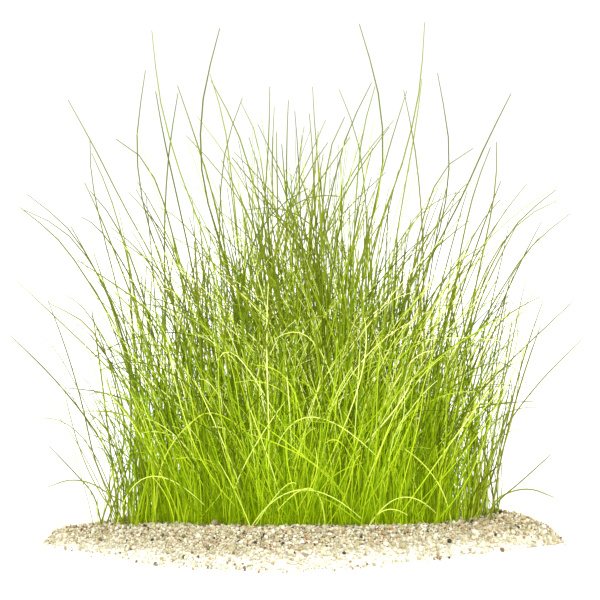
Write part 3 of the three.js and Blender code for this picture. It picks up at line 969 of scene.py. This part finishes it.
# Half a grain's length, width and height, per grain width, how much grains differ in size,
# how far their corners are worn or stand out, and how high they lie
GRAIN_FORM = np.array([0.56, 0.48, 0.4])
GRAIN_SPREAD = 0.33
GRAIN_CORNERS = (0.78, 1.16)
GRAIN_LIFT = (0.0, 0.42)

# Beyond this share of the crowns' reach, the left and right grains are their own pieces
QUARTER_SHARE = 0.62


def icosahedron():
    """Points and triangles of a regular body with twelve corners and radius 1."""
    golden = (1 + math.sqrt(5)) / 2
    points = []
    for a in (-1, 1):
        for b in (-golden, golden):
            points += [(0, a, b), (a, b, 0), (b, 0, a)]
    points = normalized(np.array(points, dtype=float))
    gaps = np.linalg.norm(points[:, None] - points[None], axis=-1)
    # Just longer than an edge, and shorter than any other gap
    edge = gaps[gaps > 0.1].min() * 1.1
    count = len(points)
    faces = []
    for i in range(count):
        for j in range(i + 1, count):
            for k in range(j + 1, count):
                if max(gaps[i, j], gaps[j, k], gaps[i, k]) > edge:
                    continue
                normal = np.cross(points[j] - points[i], points[k] - points[i])
                faces.append((i, j, k) if normal @ points[i] > 0 else (i, k, j))
    return points, np.array(faces)


def random_turns(rng, count):
    """Random rotation matrices, of shape (count, 3, 3)."""
    q = normalized(rng.normal(size=(count, 4)))
    w, x, y, z = q.T
    rows = [[1 - 2 * (y * y + z * z), 2 * (x * y - z * w), 2 * (x * z + y * w)],
            [2 * (x * y + z * w), 1 - 2 * (x * x + z * z), 2 * (y * z - x * w)],
            [2 * (x * z - y * w), 2 * (y * z + x * w), 1 - 2 * (x * x + y * y)]]
    return np.moveaxis(np.array(rows), -1, 0)


def grain_places(rng, ground, settings, stand):
    """Where the top grains lie, on a jittered grid that is coarser under the grass."""
    low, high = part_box(BED_NODE)
    places = []
    for spacing, in_stand in ((settings.spacing, False), (settings.hidden_spacing, True)):
        for x in np.arange(low[0] - settings.stray, high[0] + settings.stray, spacing):
            for y in np.arange(low[1] - settings.stray, high[1] + settings.stray, spacing):
                px = x + rng.uniform(-0.5, 0.5) * spacing
                py = y + rng.uniform(-0.5, 0.5) * spacing
                if (math.hypot(px / stand[0], py / stand[1]) < UNDER_GRASS) != in_stand:
                    continue
                level = ground.level(px, py)
                if level is not None and rng.random() > EMPTY_AT_RIM * thinness(level) ** 2:
                    places.append((px, py, level))
    return np.array(places)


def stray_places(rng, ground, settings):
    """Single grains on the floor round the bed: many against its rim, few far out."""
    places = []
    for count, pull in ((settings.near_strays, RIM_PULL), (settings.far_strays, FAR_PULL)):
        for _ in range(count):
            angle = rng.random() * 2 * math.pi
            reach = ground.rim(angle) + settings.stray * rng.random() ** pull
            places.append((reach * math.cos(angle), reach * math.sin(angle), 0.0))
    return np.array(places)


def thinness(levels):
    """How far the bed has thinned out: 0 where it is deep, 1 at its rim."""
    return np.clip(1 - (np.asarray(levels) - RIM_LEVEL) / THINNING, 0, 1)


class HAIRGRASS_OT_culms(bpy.types.Operator):
    """Grow every tuft's culms along and between the culms of the frame"""

    bl_idname = "hairgrass.culms"
    bl_label = "Grow the culms"

    def execute(self, context):
        settings = context.scene.hairgrass_culms
        material = culm_material(settings)
        traced = {node: guide_culms(node) for node in TUFT_NODES}
        crowns = np.array([crown for _, crown in traced.values()])
        rng = np.random.default_rng(CULM_SEED)
        owned = {node: [] for node in TUFT_NODES}
        for culm in grown(rng, Ground(crowns), settings):
            gaps = np.linalg.norm(crowns[:, :2] - culm.line[0, :2], axis=1)
            owned[TUFT_NODES[int(np.argmin(gaps))]].append(culm)
        for node in TUFT_NODES:
            guides, crown = traced[node]
            if not guides:
                raise RuntimeError(f"no culm found in {node}")
            owned[node] += [guide_culm(rng, guide) for guide in guides]
            lines, _, ages, shares = zip(*owned[node])
            rows = np.array([resampled(line, CULM_RINGS) for line in lines])
            points, faces, per_culm = tubes(rows[:, :, :3], culm_radii(shares, settings))
            tones = np.repeat(rows[:, :, 3], CULM_SIDES, axis=1)
            tones = np.column_stack([tones, rows[:, -1, 3]])
            end = stand_end(crown[0])
            ages = np.array(ages) * (1 + END_AGEING * end**2)
            warmths = rng.normal(WARMTH, WARMTH_SPREAD, len(rows)) + END_WARMTH * end**2
            warmths = np.repeat(np.minimum(warmths, MOST_WARMTH), per_culm)
            piece = mesh_piece(f"{node}_culms", points, faces, material, True,
                               tone=tones.ravel(), olive=olive_shares(rows, ages).ravel(),
                               warmth=warmths)
            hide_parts(node)
        return {"FINISHED"}


class HAIRGRASS_OT_bed(bpy.types.Operator):
    """Lay the packed gravel that lies under the top grains"""

    bl_idname = "hairgrass.bed"
    bl_label = "Lay the bed"

    def execute(self, context):
        ground = Ground(tuft_crowns())
        turns = np.arange(BED_SECTORS) * 2 * math.pi / BED_SECTORS
        rims = [ground.rim(angle) for angle in turns]
        points = [(0, 0, ground.level(0, 0) - BED_SINK)]
        for step in range(1, BED_STEPS + 1):
            share = min(step / BED_STEPS, INSIDE_RIM)
            for angle, rim in zip(turns, rims):
                x, y = share * rim * math.cos(angle), share * rim * math.sin(angle)
                points.append((x, y, (ground.level(x, y) or BED_SINK) - BED_SINK))
        for angle, rim in zip(turns, rims):
            points.append((rim * math.cos(angle), rim * math.sin(angle), 0))
        side = np.arange(BED_SECTORS)
        after = (side + 1) % BED_SECTORS
        faces = [[0, 1 + a, 1 + b] for a, b in zip(side, after)]
        for step in range(BED_STEPS):
            low = 1 + step * BED_SECTORS
            high = low + BED_SECTORS
            faces += [[low + a, high + a, high + b, low + b] for a, b in zip(side, after)]
        faces.append([1 + BED_STEPS * BED_SECTORS + i for i in side[::-1]])
        thin = [thinness(z) * min(max(-y / FRONT_REACH, 0), 1) for _, y, z in points]
        piece = mesh_piece("gravel_bed_packed", points, faces, bed_material(), True, thin=thin)
        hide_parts(BED_NODE)
        return {"FINISHED"}


class HAIRGRASS_OT_grains(bpy.types.Operator):
    """Strew the loose top grains over the bed and a few round it"""

    bl_idname = "hairgrass.grains"
    bl_label = "Strew the grains"

    def execute(self, context):
        settings = context.scene.hairgrass_gravel
        rng = np.random.default_rng(GRAIN_SEED)
        crowns = tuft_crowns()
        ground = Ground(crowns)
        stand = np.abs(crowns[:, :2]).max(axis=0)
        strays = stray_places(rng, ground, settings)
        places = np.concatenate([grain_places(rng, ground, settings, stand), strays])
        count = len(places)
        widths = settings.grain * np.exp(rng.normal(0, GRAIN_SPREAD, count))
        body, faces = icosahedron()
        corners = len(body)
        shapes = body[None] * rng.uniform(*GRAIN_CORNERS, (count, corners, 1))
        shapes = shapes * (GRAIN_FORM * widths[:, None])[:, None]
        shapes = np.einsum("nij,nkj->nki", random_turns(rng, count), shapes)
        lift = widths * rng.uniform(*GRAIN_LIFT, count)
        lift[-len(strays):] = -shapes[-len(strays):, :, 2].min(axis=1)
        centres = places + np.stack([np.zeros(count), np.zeros(count), lift], axis=1)
        points = shapes + centres[:, None]
        points[:, :, 2] = np.maximum(points[:, :, 2], 0)
        front = np.clip(-places[:, 1] / FRONT_REACH, 0, 1)
        # Painted light: grains at the thin front of the bed get the palest tones, all but a few
        painted_light = MOST_PAINTED_LIGHT * front * thinness(places[:, 2]) * (rng.random(count) > UNPAINTED_SHARE)
        tones = 1 - rng.random(count) * (1 - painted_light)
        tones[-settings.far_strays:] = rng.uniform(*FAR_TONES, settings.far_strays)
        material = gravel_material()
        side = QUARTER_SHARE * stand[0]
        quarters = {"left": places[:, 0] < -side, "right": places[:, 0] > side}
        middle = ~(quarters["left"] | quarters["right"])
        quarters["front"] = middle & (places[:, 1] < 0)
        quarters["back"] = middle & (places[:, 1] >= 0)
        for name, chosen in quarters.items():
            amount = int(chosen.sum())
            shift = np.repeat(np.arange(amount) * corners, len(faces))[:, None]
            piece = mesh_piece(f"gravel_grains_{name}", points[chosen].reshape(-1, 3),
                               np.tile(faces, (amount, 1)) + shift, material, False,
                               tone=np.repeat(tones[chosen], corners))
        return {"FINISHED"}


# Stage

FLOOR_HALF = 6.0
SENSOR_WIDTH = 36
WORLD_STRENGTH = 1.15
LAMP_AIM = Vector((0, 0, 0.12))

# Name, place, watts and size of each lamp
LAMPS = (
    ("key", (-0.9, -1.3, 1.5), 22, 1.0),
    ("fill", (1.2, -1.0, 0.9), 12, 1.2),
    ("rim", (0.2, 1.3, 1.3), 16, 1.0),
)


class HAIRGRASS_OT_stage(bpy.types.Operator):
    """Set up the pale floor, the soft light and the camera"""

    bl_idname = "hairgrass.stage"
    bl_label = "Set up the stage"

    def execute(self, context):
        settings = context.scene.hairgrass_stage
        scene = context.scene
        mesh = bpy.data.meshes.new("floor")
        half = FLOOR_HALF
        mesh.from_pydata([(-half, -half, 0), (half, -half, 0), (half, half, 0), (-half, half, 0)],
                         [], [(0, 1, 2, 3)])
        mesh.materials.append(board_material())
        floor = bpy.data.objects.new("floor", mesh)
        scene.collection.objects.link(floor)

        world = bpy.data.worlds.new("studio")
        world.use_nodes = True
        background = world.node_tree.nodes["Background"]
        background.inputs["Color"].default_value = (1, 1, 1, 1)
        background.inputs["Strength"].default_value = WORLD_STRENGTH
        scene.world = world

        for name, place, power, size in LAMPS:
            light = bpy.data.lights.new(name, "AREA")
            light.energy = power
            light.size = size
            lamp = bpy.data.objects.new(name, light)
            lamp.location = place
            lamp.rotation_euler = (LAMP_AIM - Vector(place)).to_track_quat("-Z", "Y").to_euler()
            scene.collection.objects.link(lamp)

        aim = Vector((0, 0, settings.aim_height))
        back = Vector((0, -math.cos(settings.elevation), math.sin(settings.elevation)))
        camera_data = bpy.data.cameras.new("camera")
        camera_data.sensor_width = SENSOR_WIDTH
        camera_data.lens = SENSOR_WIDTH * settings.distance / settings.view_width
        camera = bpy.data.objects.new("camera", camera_data)
        camera.location = aim + back * settings.distance
        camera.rotation_euler = (-back).to_track_quat("-Z", "Y").to_euler()
        scene.collection.objects.link(camera)
        scene.camera = camera
        scene.view_settings.view_transform = "Standard"
        return {"FINISHED"}


class HAIRGRASS_PT_panel(bpy.types.Panel):
    """Everything that makes the clump"""

    bl_idname = "HAIRGRASS_PT_panel"
    bl_label = "Giant hairgrass"
    bl_space_type = "VIEW_3D"
    bl_region_type = "UI"
    bl_category = "Hairgrass"

    def draw(self, context):
        for group, operators in (
            (context.scene.hairgrass_culms, ("hairgrass.culms",)),
            (context.scene.hairgrass_gravel, ("hairgrass.bed", "hairgrass.grains")),
            (context.scene.hairgrass_stage, ("hairgrass.stage",)),
        ):
            column = self.layout.column()
            for key in group.__annotations__:
                column.prop(group, key)
            for operator in operators:
                column.operator(operator)


GROUPS = {
    "hairgrass_culms": CulmSettings,
    "hairgrass_gravel": GravelSettings,
    "hairgrass_stage": StageSettings,
}
OPERATORS = (HAIRGRASS_OT_stage, HAIRGRASS_OT_bed, HAIRGRASS_OT_grains, HAIRGRASS_OT_culms)


def register():
    for name, group in GROUPS.items():
        bpy.utils.register_class(group)
        setattr(bpy.types.Scene, name, bpy.props.PointerProperty(type=group))
    for operator in OPERATORS:
        bpy.utils.register_class(operator)
    bpy.utils.register_class(HAIRGRASS_PT_panel)


def unregister():
    bpy.utils.unregister_class(HAIRGRASS_PT_panel)
    for operator in reversed(OPERATORS):
        bpy.utils.unregister_class(operator)
    for name, group in GROUPS.items():
        delattr(bpy.types.Scene, name)
        bpy.utils.unregister_class(group)


def main():
    register()
    bpy.ops.hairgrass.stage()
    bpy.ops.hairgrass.bed()
    bpy.ops.hairgrass.grains()
    bpy.ops.hairgrass.culms()


if __name__ == "__main__":
    main()
